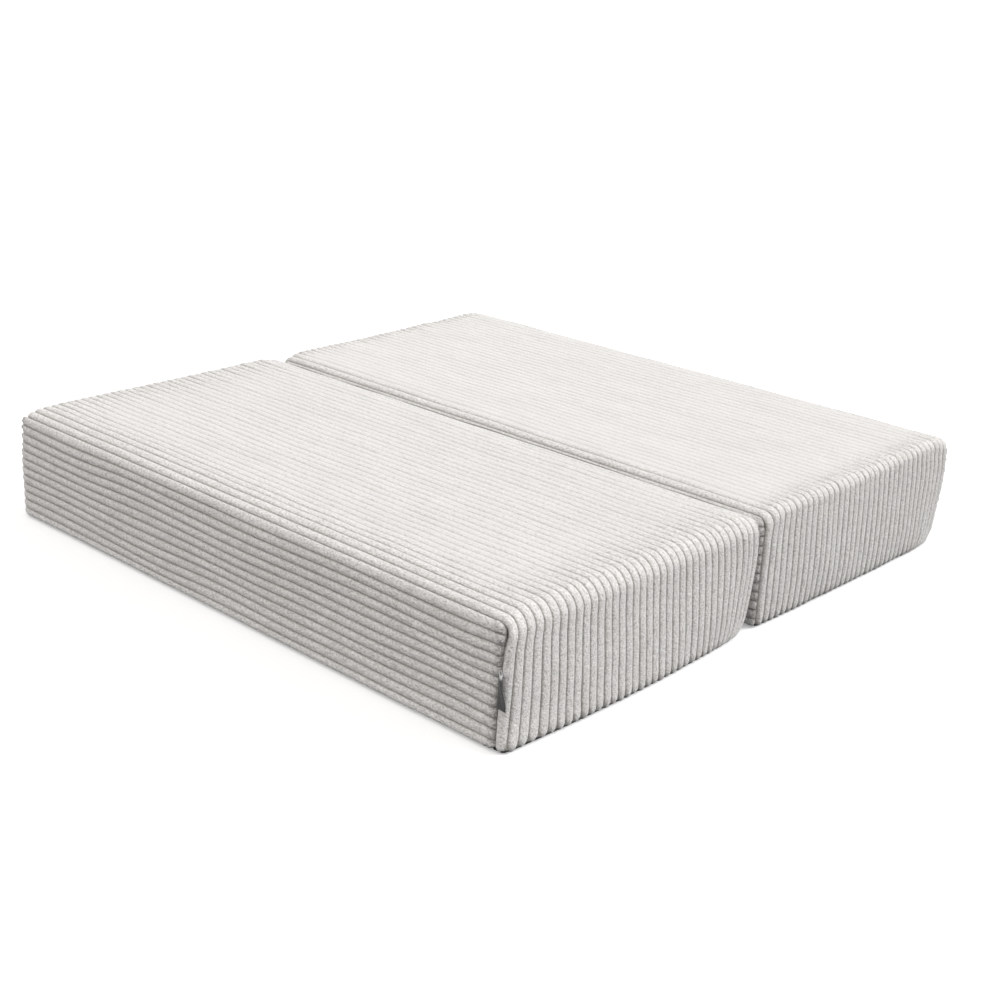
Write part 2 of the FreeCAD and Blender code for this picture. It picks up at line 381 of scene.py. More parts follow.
def end_path(half_length, top, foot, top_radius, foot_radius):
    """Section of the top panel along the ribs: foot, end, bend, top, and the same again.
    Returns its points (x, z) and their distance along the cloth."""
    foot_z = foot + foot_radius
    top_x = half_length - top_radius
    turned = np.linspace(math.pi + END_FOOT_TURN, math.pi, 12)
    bend = np.linspace(math.pi, math.pi / 2, 14)
    rise = np.linspace(foot_z, top - top_radius, 22)[1:-1]
    run = np.linspace(-top_x, 0, 58)[1:-1]
    half = np.concatenate([
        arc(foot_radius - half_length, foot_z, foot_radius, turned),
        np.stack([-half_length + 0 * rise, rise], -1),
        arc(-top_x, top - top_radius, top_radius, bend),
        np.stack([run, top + 0 * run], -1),
    ])
    path = np.concatenate([half, [[0, top]], half[::-1] * np.array([-1, 1])])
    return path, distances(path)


def top_form(y, bend, sag):
    """Smooth form of the top panel at the positions y (a column for each): its section changes from
    the block's middle to the seams, where it meets the side panels."""
    middle, _ = end_path(HALF_LENGTH, TOP, FOOT, bend, END_FOOT_RADIUS)
    seam, _ = end_path(
        HALF_LENGTH - END_ROLL * SEAM_REST,
        SIDE_TOP - TOP_ROLL * SEAM_REST,
        FOOT + FOOT_ROLL * SEAM_REST,
        TOP_CORNER + (TOP_ROLL + END_ROLL) / 2 * math.sin(ROLL_TURN),
        FOOT_CORNER + (FOOT_ROLL + END_ROLL) / 2 * math.sin(ROLL_TURN))
    inner = HALF_DEPTH - TOP_ROLL * SEAM_RISE
    edge_start = HALF_DEPTH - EDGE_DROP_REACH
    edge = smooth((np.abs(y) - edge_start) / (inner - edge_start)) ** 2
    into_roll = np.clip(np.abs(y) - (HALF_DEPTH - TOP_ROLL), 0, TOP_ROLL * 0.999)
    drop = TOP_ROLL - np.sqrt(TOP_ROLL ** 2 - into_roll ** 2)
    share = (EDGE_DROP * edge + drop) / (EDGE_DROP + TOP_ROLL * SEAM_REST)
    x = middle[:, None, 0] + (seam - middle)[:, None, 0] * share
    z = middle[:, None, 1] + (seam - middle)[:, None, 1] * share
    # The ends bulge at the foot; the seams stay where the side panels meet them.
    low = smooth((TOP - bend - z) / (TOP - bend - SAG_HEIGHT))
    across = np.clip(1 - (np.abs(y) / inner) ** 3, 0, 1)
    near_end = smooth((np.abs(x) - (HALF_LENGTH - 0.03)) / 0.02)
    x = x + np.sign(x) * sag * low * across * near_end
    # At the ends and the foot the seams lie further out than on the top.
    upright = smooth((TOP - 0.02 - z) / 0.03)
    wide = 1 + upright * (TOP_ROLL - END_ROLL) * SEAM_RISE / inner
    return np.stack([x, y * wide, z], -1)


def rolled_edge(w):
    """Semi-axes of a side panel's corner on its spread-out cloth: (core corner, along X, along Z)."""
    upper = w > (CORE_LOW + CORE_HIGH) / 2
    corner = np.where(upper, TOP_CORNER, FOOT_CORNER)
    return corner, corner + END_ROLL * ROLL_TURN, corner + np.where(upper, TOP_ROLL, FOOT_ROLL) * ROLL_TURN


def side_reach(w):
    """Half-length of the side panel's spread-out cloth at height w, with its corners rounded."""
    corner, along, upward = rolled_edge(w)
    beyond = np.maximum(w - (CORE_HIGH - corner), (CORE_LOW + corner) - w)
    share = np.clip(beyond / upward, 0, 1)
    return CORE_HALF - corner + along * np.sqrt(1 - share ** 2)


def side_form(u, w):
    """Smooth form of a side panel that faces -Y: spread-out cloth (u, w) rolled over the block's edges.
    Returns the points and their distance to the seam."""
    corner, along, upward = rolled_edge(w)
    core_u = np.clip(u, corner - CORE_HALF, CORE_HALF - corner)
    core_w = np.clip(w, CORE_LOW + corner, CORE_HIGH - corner)
    away_u = u - core_u
    away_w = w - core_w
    away = np.hypot(away_u, away_w)
    safe = np.maximum(away, 1e-9)
    spoke = np.hypot(away_u / along, away_w / upward)
    seam = np.where(away > 1e-7, safe / np.maximum(spoke, 1e-9), 1.0)
    radius = (seam - corner) / ROLL_TURN
    angle = np.clip((away - corner) / radius, 0, ROLL_TURN)
    reach = np.minimum(away, corner) + radius * np.sin(angle)
    x = core_u + away_u / safe * reach
    z = core_w + away_w / safe * reach
    y = radius * (1 - np.cos(angle)) - HALF_DEPTH
    return np.stack([x, y, z], -1), np.clip(seam - away, 0, None)


# ---- padding: cloth under pressure
def box_shell(cell):
    """Closed quad box on a regular grid: corners from -1 to 1, faces, and which points are on an edge."""
    counts = (
        max(2, round(2 * HALF_LENGTH / cell)),
        max(2, round(2 * HALF_DEPTH / cell)),
        max(2, round(TOP / cell)),
    )
    numbers = {}
    faces = []

    def number(key):
        return numbers.setdefault(key, len(numbers))

    for axis in range(3):
        first, second = (axis + 1) % 3, (axis + 2) % 3
        for end in (0, counts[axis]):
            for a in range(counts[first]):
                for b in range(counts[second]):
                    ring = []
                    for da, db in ((0, 0), (1, 0), (1, 1), (0, 1)):
                        key = [0, 0, 0]
                        key[axis], key[first], key[second] = end, a + da, b + db
                        ring.append(number(tuple(key)))
                    faces.append(ring if end else ring[::-1])
    keys = np.array(list(numbers), float)
    ends = (keys == 0) | (keys == np.array(counts))
    return keys / np.array(counts) * 2 - 1, faces, ends.sum(1) > 1


def puff(name, seed):
    """Padding of one block: where each coarse point moves when the cover is put under pressure."""
    unit, faces, edge = box_shell(CELL)
    rest = np.stack([
        unit[:, 0] * HALF_LENGTH,
        unit[:, 1] * HALF_DEPTH,
        FOOT + (unit[:, 2] + 1) / 2 * (TOP - FOOT),
    ], -1)
    held = edge | (unit[:, 2] < -0.999)
    uneven = START_UNEVENNESS * waves(rest[:, 0], rest[:, 1] + rest[:, 2], seed, 6, 1.5, 5.0)
    start = rest + (uneven * ~held)[:, None]
    mesh = bpy.data.meshes.new(name)
    mesh.from_pydata(start.tolist(), [], faces)
    shell = link(bpy.data.objects.new(name, mesh))
    pins = shell.vertex_groups.new(name="held")
    pins.add(np.nonzero(held)[0].tolist(), 1.0, "REPLACE")
    cloth = shell.modifiers.new("Cloth", "CLOTH")
    settings = cloth.settings
    settings.quality = 6
    settings.mass = 0.4
    settings.tension_stiffness = 40
    settings.compression_stiffness = 40
    settings.shear_stiffness = 20
    settings.bending_stiffness = 2
    settings.use_pressure = True
    settings.uniform_pressure_force = PUFF_PRESSURE
    settings.vertex_group_mass = "held"
    settings.effector_weights.gravity = 0
    cloth.collision_settings.use_self_collision = False
    cloth.point_cache.frame_start = 1
    cloth.point_cache.frame_end = PUFF_FRAMES
    for step in range(1, PUFF_FRAMES + 1):
        bpy.context.scene.frame_set(step)
    graph = bpy.context.evaluated_depsgraph_get()
    result = shell.evaluated_get(graph).data
    moved = np.zeros(len(result.vertices) * 3)
    result.vertices.foreach_get("co", moved)
    moved = moved.reshape(-1, 3) - rest
    bpy.data.objects.remove(shell)
    bpy.data.meshes.remove(mesh)
    bpy.context.scene.frame_set(1)
    size = np.linalg.norm(moved, axis=1, keepdims=True)
    moved *= PUFF_LIMIT * np.tanh(size / PUFF_LIMIT) / np.maximum(size, 1e-9)
    return rest, moved


def swell(points, padding):
    """The padding's movement on a grid of points, blended from the nearest coarse points."""
    rest, moved = padding
    if not moved.any():
        return np.zeros_like(points)
    tree = kdtree.KDTree(len(rest))
    for i, place in enumerate(rest):
        tree.insert(place, i)
    tree.balance()
    rows = np.unique(np.append(np.arange(0, points.shape[0], 4), points.shape[0] - 1))
    cols = np.unique(np.append(np.arange(0, points.shape[1], 5), points.shape[1] - 1))
    sparse = np.zeros((len(rows), len(cols), 3))
    for a, i in enumerate(rows):
        for b, j in enumerate(cols):
            near = tree.find_n(points[i, j], 10)
            chosen = [n[1] for n in near]
            weight = np.exp(-(np.array([n[2] for n in near]) / (CELL * 0.9)) ** 2) + 1e-9
            sparse[a, b] = (moved[chosen] * weight[:, None]).sum(0) / weight.sum()
    blended = np.empty(points.shape)
    every_row = np.arange(points.shape[0])
    every_col = np.arange(points.shape[1])
    for axis in range(3):
        tall = np.stack([np.interp(every_row, rows, sparse[:, b, axis]) for b in range(len(cols))], -1)
        blended[..., axis] = np.stack([np.interp(every_col, cols, line) for line in tall])
    return blended


# ---- cover panels
def cover(name, centre, form, lift, cloth, rib, nap):
    """Cover panel: its form raised by lift into ribs and moved to its block. Its UV map is its own cloth."""
    points = form + grid_normals(form) * lift[..., None]
    points[..., 1] += centre
    return grid_object(name, points, np.stack(np.broadcast_arrays(*cloth), -1), rib, nap)


def top_panel(name, centre, padding, seed, bend, sag):
    """Corduroy over the top and down both ends, ribs along X."""
    rear = centre > 0
    phase = rib_phases(TOP_RIBS)[None, :]
    flat_y = phase * RIB_PITCH - TOP_HALF_WIDTH
    cloth = end_path(HALF_LENGTH, TOP, FOOT, bend, END_FOOT_RADIUS)[1]
    along = cloth[:, None]
    to_seam = TOP_HALF_WIDTH - np.abs(flat_y)
    calm = smooth(to_seam / 0.05)
    y = flat_y + TOP_SWAY * waves(along, flat_y * 1.5, seed, 7, 0.8, 3.5) * calm
    form = top_form(y, bend, sag)
    push = swell(form, padding) * np.array([1, 1, TOP_PUFF])
    # At the foot the ribs narrow, and the cloth stands higher in the grooves than on the ribs.
    foot_end = np.minimum(cloth, cloth[-1] - cloth)[:, None]
    height = rib_profile(phase) ** (1 + FOOT_NARROWING * (1 - smooth(foot_end / 0.02)))
    drawn_up = FOOT_NOTCH * (1 - smooth(foot_end / 0.016)) * (1 - height)
    tangent = np.gradient(form, axis=0)
    tangent = tangent / np.linalg.norm(tangent, axis=-1, keepdims=True)
    upward = np.sign(cloth[-1] / 2 - cloth)[:, None] * drawn_up
    form = settle(form + push + tangent * upward[..., None], rear)
    # The pile is pressed flatter on the top than on the ends and along the long edges; there its grooves get
    # less painted shade, and the pile itself a painted shade.
    plump_edge = np.where((flat_y < 0) & (not rear), PLAIN_EDGE_PLUMP, EDGE_PLUMP)
    plump_end = REAR_END_PLUMP if rear else FRONT_END_PLUMP
    pressed = smooth((HALF_LENGTH - 0.012 - np.abs(form[..., 0])) / plump_end)
    pressed = pressed * smooth(to_seam / plump_edge - 0.3) * (form[..., 2] > TOP / 2)
    flat = TOP_FLATTENING * (REAR_FLATTER if rear else 1) * pressed
    plump = 1 + 0.10 * waves(along * 2.0, np.floor(phase) * 0.37, seed + 1, 8, 0.7, 4.0)
    full = 0.85 + 0.15 * smooth(foot_end / 0.008)
    lift = RIB_HEIGHT * (height + (1 - height) * 0.5 * flat) * plump * full * (1 - PRESSED_RIBS * pressed)
    lift = lift + TOP_UNDULATION * waves(along, flat_y, seed + 2, 9, 2.0, 9.0) * calm
    # How rough the pile stands also masks the painted shade on the pressed top; the rib height masks the
    # painted shade in the grooves.
    nap = 1 - (REAR_SMOOTHING if rear else FRONT_SMOOTHING) * pressed
    rib = height + (1 - height) * flat
    return cover(name, centre, form, lift - seam_dip(to_seam), (along, flat_y), rib, nap)


def groove_heights(zipped):
    """Heights of a side panel's grooves on its spread-out cloth, from seam to seam.
    On the zipped side one rib's width is left flat for the zip."""
    if not zipped:
        grooves = FIRST_GROOVE - RIB_PITCH * np.arange(SIDE_RIBS - 1)
    else:
        above = np.linspace(FIRST_GROOVE, ZIP_HEIGHT + ZIP_HALF_SLOT, ZIP_RIBS_ABOVE + 1)
        below = ZIP_HEIGHT - ZIP_HALF_SLOT
        grooves = np.concatenate([above, [below, below / 2]])
    low = CORE_LOW - FOOT_ROLL * ROLL_TURN
    return np.concatenate([[low], grooves[::-1], [CORE_HIGH + TOP_ROLL * ROLL_TURN]])


def side_panel(name, centre, padding, seed, zipped, puff_share):
    """Corduroy side wall with its ribs along X: the plain one faces -Y, the zipped one faces +Y."""
    grooves = groove_heights(zipped)
    at_gap = puff_share < 1
    ribs = len(grooves) - 1
    phase = rib_phases(ribs)
    flat_w = np.interp(phase, np.arange(ribs + 1), grooves)
    reach = side_reach(flat_w)[None, :]
    fine = np.linspace(0, FINE_END, 30)
    coarse = np.linspace(FINE_END, HALF_LENGTH, 100)[1:]
    inner = 1 - np.concatenate([fine, coarse]) / HALF_LENGTH
    u = np.concatenate([-inner, inner[::-1][1:]])[:, None] * reach
    calm = smooth((reach - np.abs(u)) / 0.08) * smooth((flat_w - CORE_LOW) / 0.03)
    calm = calm * smooth((CORE_HIGH + TOP_ROLL - flat_w) / 0.03)
    sway = ZIPPED_SWAY if zipped else SIDE_SWAY
    w = flat_w + sway * waves(u, flat_w * 2.0, seed, 7, 1.0, 5.0) * calm
    form, to_seam = side_form(u, w)
    if zipped:
        form = form * np.array([-1, -1, 1])
    push = swell(form, padding) * np.array([1, puff_share, 1])
    band = np.zeros_like(w)
    if zipped:
        in_slot = (phase > 2) & (phase < 3)
        band = in_slot * smooth((ZIP_HALF_LENGTH + ZIP_BAND_END - np.abs(form[..., 0])) / ZIP_BAND_END)
        push = push * (1 - np.exp(-((form[..., 2:] - ZIP_HEIGHT) / ZIP_CALM) ** 2))
    form = settle(form + push, centre > 0)
    # The ribs stop short of the corner seams in rounded, uneven knobs.
    to_end = np.maximum(reach - np.abs(u), 0)
    cap = np.sqrt(np.clip(1 - (1 - np.clip(to_end / KNOB_REACH, 0, 1)) ** 2, 0, 1))
    rib_number = np.floor(np.minimum(phase, ribs - 0.01))
    knob = (GAP_KNOB if at_gap else KNOB) * np.exp(-((to_end - KNOB_REACH) / 0.007) ** 2)
    knob = knob * (1 + 0.8 * waves(np.sign(u) * 3, rib_number * 0.61, seed + 3, 5, 1.0, 4.0))
    crumple = np.exp(-(to_end / CRUMPLE_REACH) ** 2) * waves(u, flat_w, seed + 5, 12, 80.0, 170.0)
    height = rib_profile(phase) * cap * (1 - band)
    uneven = waves(u * 2.0, rib_number * 0.37, seed + 1, 8, 0.7, 4.0)
    plump = 1 + (0.04 if at_gap else 0.09) * uneven + knob
    lift = RIB_HEIGHT * height * plump * (0.9 if at_gap else 1.0) + ZIP_RISE * band
    undulation = GAP_UNDULATION if at_gap else SIDE_UNDULATION
    lift = lift + undulation * waves(u, flat_w, seed + 2, 9, 2.0, 10.0) * calm * (1 - band)
    lift = lift + CRUMPLE * crumple * height * (0.4 if at_gap else 1.0)
    ruffled = 1 + RUFFLED_NAP * np.exp(-(to_end / RUFFLED_REACH) ** 2)
    # The rib height masks the painted shade in the grooves; the zip's flat band gets a little of that shade.
    return cover(name, centre, form, lift - seam_dip(to_seam), (u, flat_w), height + 0.6 * band, ruffled)


def base_panel(name, centre, sag):
    """Dark base cloth: flat on the floor, turned up under the ribs at both ends and at both sides."""
    angles = np.linspace(0, BASE_CURL, 10)[1:]
    flat = np.linspace(0, HALF_LENGTH - END_FOOT_RADIUS, 60)
    half_x = np.concatenate([flat, flat[-1] + BASE_CURL_RADIUS * np.sin(angles)])
    rise = np.concatenate([flat * 0, BASE_CURL_RADIUS * (1 - np.cos(angles))])
    x = np.concatenate([-half_x[::-1], half_x[1:]])[:, None]
    rise = np.concatenate([rise[::-1], rise[1:]])[:, None]
    edge = HALF_DEPTH - FOOT_ROLL * SEAM_RISE - BASE_INSET
    inner = edge - BASE_TURN
    rises = np.linspace(-edge, -inner, 9)[:-1], np.linspace(inner, edge, 9)[1:]
    y = np.concatenate([rises[0], np.linspace(-inner, inner, 50), rises[1]])[None, :]
    turn = smooth((np.abs(y) - inner) / BASE_TURN)
    z = np.maximum(rise, turn * (SIDE_FOOT_SEAM - BASE_LEVEL)) + BASE_LEVEL
    bulge = sag * np.clip(1 - (np.abs(y) / edge) ** 3, 0, 1)
    bulge = bulge * smooth((np.abs(x) - HALF_LENGTH + 0.1) / 0.08)
    points = np.stack([x + np.sign(x) * bulge, np.broadcast_to(y, z.shape), z], -1)
    points = settle(points, centre > 0)[::-1]
    points[..., 1] += centre
    return grid_object(name, points, points[..., :2])


# ---- hinge strip, label and zip teeth
def thicken(piece, thickness):
    """Gives a cloth its thickness, half to each side."""
    solid = piece.modifiers.new("Thickness", "SOLIDIFY")
    solid.thickness = thickness
    solid.offset = 0
    graph = bpy.context.evaluated_depsgraph_get()
    final = bpy.data.meshes.new_from_object(piece.evaluated_get(graph))
    piece.modifiers.clear()
    piece.data = final


def hinge_strip():
    """Tape between the blocks, coloured darker than the cover as painted shade in the gap: sewn to both top
    edges and folded up into a low ridge at rest.
    """
    mirrored = [(-y, z) for y, z in STRIP_HALF_SECTION[::-1]]
    outline = np.array([*STRIP_HALF_SECTION, (0.0, STRIP_RIDGE), *mirrored])
    step = distances(outline)
    fine = np.linspace(0, step[-1], 25)
    section = np.stack([np.interp(fine, step, outline[:, 0]), np.interp(fine, step, outline[:, 1])], -1)
    x = np.linspace(-strip_high.x, strip_high.x, 241)
    ridge = np.exp(-((fine - step[-1] / 2) / 0.006) ** 2)
    points = np.zeros((len(x), len(fine), 3))
    points[..., 0] = x[:, None]
    for axis, size, seed in ((0, 0.0006, 71), (1, 0.0008, 72)):
        points[..., axis + 1] = section[:, axis] + size * ridge * waves(x, x * 0, seed, 6, 1.0, 7.0)[:, None]
    uv = np.stack(np.broadcast_arrays(x[:, None], fine), -1)
    strip = grid_object("hinge_tape", points, uv)
    thicken(strip, STRIP_THICKNESS)
    return strip


def corner_tag():
    """Satin loop label sewn into the near vertical corner seam. It leaves the seam straight out, and then
    turns: its top end stands out from the corner, and its foot lies over the first rib of the end."""
    width = label_high.y - label_low.y
    rows = np.linspace(0, 1, 33)
    leaf = np.linspace(0, 1, 25)
    fold = np.linspace(-math.pi / 2, math.pi / 2, 9)[1:-1]
    across = np.concatenate([leaf, 1 + LABEL_FOLD * np.cos(fold), leaf[::-1]])
    apart = np.concatenate([0.5 + leaf * 0, -0.5 * np.sin(fold), -0.5 + leaf * 0]) * np.clip(across * 3, 0, 1)
    height = label_low.z + (label_high.z - label_low.z) * rows
    reach = side_reach(height)
    seam = settle(side_form(reach, height)[0], False)
    points = np.zeros((len(rows), len(across), 3))
    for i, share in enumerate(rows):
        turned = LABEL_FOOT_TURN + (LABEL_TOP_TURN - LABEL_FOOT_TURN) * smooth(share * 1.15)
        angle = math.pi + (turned - math.pi) * smooth(leaf / LABEL_ROOT)
        step = width * np.diff(leaf, prepend=0)
        path = np.stack([np.cumsum(np.sin(angle) * step), np.cumsum(np.cos(angle) * step)], -1)
        along = np.stack([np.interp(across, leaf, path[:, k]) for k in range(2)], -1)
        beyond = np.clip(across - 1, 0, None)[:, None] * width
        along += beyond * np.array([math.sin(turned), math.cos(turned)])
        at = np.interp(across, leaf, angle)
        aside = np.stack([np.cos(at), -np.sin(at)], -1)
        opening = LABEL_OPEN_FOOT + (LABEL_OPEN_TOP - LABEL_OPEN_FOOT) * share
        points[i, :, :2] = seam[i, :2] + along + aside * (apart * opening)[:, None]
        points[i, :, 2] = height[i] - LABEL_DROOP * across * (1 - share)
    points[..., 1] += FRONT_CENTRE
    uv = np.stack(np.broadcast_arrays(across, rows[:, None]), -1)
    tag = grid_object("corner_loop_label", points, uv)
    thicken(tag, LABEL_THICKNESS)
    return tag


def zip_teeth(name, coil_node):
    """Interlocked teeth of the closed zip: small rounded blocks along the coil, on alternate sides."""
    low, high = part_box(coil_node)
    tilt = math.atan(LEAN / LEAN_HEIGHT)
    centre = (low + high) / 2
    across = Vector((0, math.sin(tilt), math.cos(tilt)))
    outward = Vector((0, math.cos(tilt), -math.sin(tilt)))
    corners = range(TOOTH_ROUND)
    ring = [(math.cos(a), math.sin(a)) for a in (np.arange(TOOTH_ROUND) + 0.5) * 2 * math.pi / TOOTH_ROUND]
    sections = ((-1, 0.6), (-0.8, 1.0), (0.8, 1.0), (1, 0.6))
    verts = []
    faces = []
    count = int((high.x - low.x) / TOOTH_PITCH)
    for i in range(count):
        x = low.x + (i + 0.5) * (high.x - low.x) / count
        middle = Vector((x, centre.y, centre.z)) + across * (TOOTH_STAGGER if i % 2 else -TOOTH_STAGGER)
        start = len(verts)
        for end, size in sections:
            for a, b in ring:
                aside = Vector((a * TOOTH_HALF_LENGTH * size, 0, 0)) + outward * (b * TOOTH_HALF_DEPTH * size)
                verts.append(middle + across * (end * TOOTH_HALF_WIDTH) + aside)
        for k in range(len(sections) - 1):
            a = start + k * TOOTH_ROUND
            b = a + TOOTH_ROUND
            for j in corners:
                following = (j + 1) % TOOTH_ROUND
                faces.append((a + j, a + following, b + following, b + j))
        faces.append([start + j for j in corners][::-1])
        faces.append([len(verts) - TOOTH_ROUND + j for j in corners])
    mesh = bpy.data.meshes.new(name)
    mesh.from_pydata([v[:] for v in verts], [], faces)
    mesh.update()
    return link(bpy.data.objects.new(name, mesh))


# ---- inside the cover
def filling(name, centre, low, high, inset, radius):
    """Closed rounded slab inside the cover, from height low to high, that leans with the zipped side."""
    form = bmesh.new()
    bmesh.ops.create_cube(form, size=1)
    size = (2 * (HALF_LENGTH - inset), 2 * (HALF_DEPTH - inset), high - low)
    for vert in form.verts:
        vert.co = Vector(a * b for a, b in zip(vert.co, size)) + Vector((0, 0, (low + high) / 2))
    upright = [e for e in form.edges if abs(e.verts[0].co.z - e.verts[1].co.z) > 0.001]
    bmesh.ops.bevel(form, geom=upright, offset=FILLING_CORNER, segments=5, affect="EDGES", profile=0.5)
    rims = [e for e in form.edges if e.calc_face_angle(0) > 1.2]
    bmesh.ops.bevel(form, geom=rims, offset=radius, segments=3, affect="EDGES", profile=0.5)
    bmesh.ops.triangulate(form, faces=form.faces[:])
    bmesh.ops.subdivide_edges(form, edges=form.edges[:], cuts=3, use_grid_fill=True)
    mesh = bpy.data.meshes.new(name)
    form.to_mesh(mesh)
    form.free()
    points = np.zeros(len(mesh.vertices) * 3)
    mesh.vertices.foreach_get("co", points)
    points = lean_in(points.reshape(-1, 3))
    points[:, 1] += centre
    mesh.vertices.foreach_set("co", points.ravel())
    mesh.update()
    return link(bpy.data.objects.new(name, mesh))


# ---- materials
def principled(name, **constants):
    """New node material. The constants are set on the shader's own sockets."""
    material = bpy.data.materials.new(name)
    material.use_nodes = True
    tree = material.node_tree
    shader = tree.nodes["Principled BSDF"]
    for socket, value in constants.items():
        shader.inputs[socket.replace("_", " ")].default_value = value
    return material, tree, shader


def place(tree, stretch=(1, 1, 1)):
    """Position on the object in metres, stretched by a factor for each axis."""
    coordinates = tree.nodes.new("ShaderNodeTexCoord")
    mapping = tree.nodes.new("ShaderNodeMapping")
    mapping.inputs["Scale"].default_value = stretch
    tree.links.new(coordinates.outputs["Object"], mapping.inputs["Vector"])
    return mapping.outputs["Vector"]


def texture(tree, kind, vector, **constants):
    """Texture node of a kind, at the places of a vector socket."""
    node = tree.nodes.new("ShaderNodeTex" + kind)
    for socket, value in constants.items():
        node.inputs[socket].default_value = value
    tree.links.new(vector, node.inputs["Vector"])
    return node


def noise(tree, vector, scale, detail=2.0, roughness=0.5):
    """Noise from 0 to 1."""
    return texture(tree, "Noise", vector, Scale=scale, Detail=detail, Roughness=roughness).outputs["Fac"]


def threads(tree, vector, scale, direction, distortion=0.0):
    """Parallel thread bands from 0 to 1 across one axis."""
    node = texture(tree, "Wave", vector, Scale=scale, Distortion=distortion, Detail=1.0)
    node.bands_direction = direction
    return node.outputs["Fac"]


def cells(tree, vector, scale):
    """Distance to the nearest cell wall, as in foam."""
    node = texture(tree, "Voronoi", vector, Scale=scale)
    node.feature = "DISTANCE_TO_EDGE"
    return node.outputs["Distance"]


def spread(tree, value, low, high, to_low=0.0, to_high=1.0):
    """Maps low..high to to_low..to_high, clamped."""
    node = tree.nodes.new("ShaderNodeMapRange")
    for socket, number in (("From Min", low), ("From Max", high), ("To Min", to_low), ("To Max", to_high)):
        node.inputs[socket].default_value = number
    tree.links.new(value, node.inputs["Value"])
    return node.outputs["Result"]


def feed(tree, socket, value):
    """Sets a socket to a number or an (r, g, b), or links another socket to it."""
    if isinstance(value, (int, float)):
        socket.default_value = value
    elif isinstance(value, tuple):
        socket.default_value = (*value, 1.0)
    else:
        tree.links.new(value, socket)


def maths(tree, operation, first, second):
    """Maths on two sockets or numbers."""
    node = tree.nodes.new("ShaderNodeMath")
    node.operation = operation
    feed(tree, node.inputs[0], first)
    feed(tree, node.inputs[1], second)
    return node.outputs["Value"]


def blend_colour(tree, factor, first, second, kind="MIX"):
    """Mixes two colours, each a socket or an (r, g, b)."""
    node = tree.nodes.new("ShaderNodeMix")
    node.data_type = "RGBA"
    node.blend_type = kind
    feed(tree, node.inputs[0], factor)
    feed(tree, node.inputs[6], first)
    feed(tree, node.inputs[7], second)
    return node.outputs[2]


def tinted(tree, colour, tint):
    """A colour multiplied by an (r, g, b)."""
    return blend_colour(tree, 1.0, colour, tint, "MULTIPLY")


def bump(tree, height, distance, strength=1.0, under=None):
    """Bump from a height socket, distance in metres."""
    node = tree.nodes.new("ShaderNodeBump")
    node.inputs["Distance"].default_value = distance
    node.inputs["Strength"].default_value = strength
    tree.links.new(height, node.inputs["Height"])
    if under is not None:
        tree.links.new(under, node.inputs["Normal"])
    return node.outputs["Normal"]


def finished(material, colour, roughness, normal):
    """The material, with these sockets in its colour, roughness and normal."""
    tree = material.node_tree
    shader = tree.nodes["Principled BSDF"]
    tree.links.new(colour, shader.inputs["Base Color"])
    tree.links.new(roughness, shader.inputs["Roughness"])
    tree.links.new(normal, shader.inputs["Normal"])
    return material


def corduroy():
    """Pale wide-wale plush: speckled pile, brushed patches, painted shade in the grooves and a painted shade
    on the pressed top.
    """
    material, tree, shader = principled(
        "corduroy_plush", Sheen_Weight=0.5, Sheen_Roughness=0.45, Specular_IOR_Level=0.15)
    shader.inputs["Sheen Tint"].default_value = (0.98, 0.97, 0.96, 1.0)
    at = place(tree)
    along = place(tree, (0.55, 1.0, 1.0))
    pile = noise(tree, along, 380, 3, 0.65)
    tuft = noise(tree, along, 120, 3, 0.55)
    brushed = noise(tree, place(tree, (0.6, 1.6, 1.6)), 11, 4, 0.6)
    rib = tree.nodes.new("ShaderNodeAttribute")
    rib.attribute_name = "rib"
    nap = tree.nodes.new("ShaderNodeAttribute")
    nap.attribute_name = "nap"
    rough_pile = nap.outputs["Fac"]
    # Painted shade in the grooves, masked by the rib height.
    crest = spread(tree, rib.outputs["Fac"], 0.0, 0.7)
    colour = blend_colour(tree, crest, CORD_GROOVE_SHADE, CORD_PILE)
    # Rougher pile is speckled more strongly about the same mean.
    mean = 0.6
    speckle = maths(tree, "SUBTRACT", spread(tree, pile, 0.32, 0.60), mean)
    speckle = maths(tree, "ADD", maths(tree, "MULTIPLY", speckle, rough_pile), mean)
    colour = blend_colour(tree, speckle, tinted(tree, colour, (0.60, 0.59, 0.58)), colour)
    # Painted shade on the pressed pile of the tops, where the smoother bump would show it brighter.
    pressed_top_painted_shade = spread(tree, rough_pile, 0.3, 1.0, 1.0, 0.0)
    colour = blend_colour(tree, pressed_top_painted_shade, colour, tinted(tree, colour, (0.91, 0.91, 0.915)))
    patch = spread(tree, brushed, 0.36, 0.64)
    colour = blend_colour(tree, patch, tinted(tree, colour, (0.955, 0.95, 0.945)), colour)
    rough = spread(tree, tuft, 0.3, 0.7, 0.82, 0.97)
    wrinkle = bump(tree, noise(tree, at, 38, 4, 0.55), 0.0030, 0.5)
    tufted = bump(tree, maths(tree, "MULTIPLY", tuft, rough_pile), 0.0030, 0.8, wrinkle)
    fuzzy = bump(tree, maths(tree, "MULTIPLY", pile, rough_pile), 0.0032, 1.0, tufted)
    return finished(material, colour, rough, fuzzy)


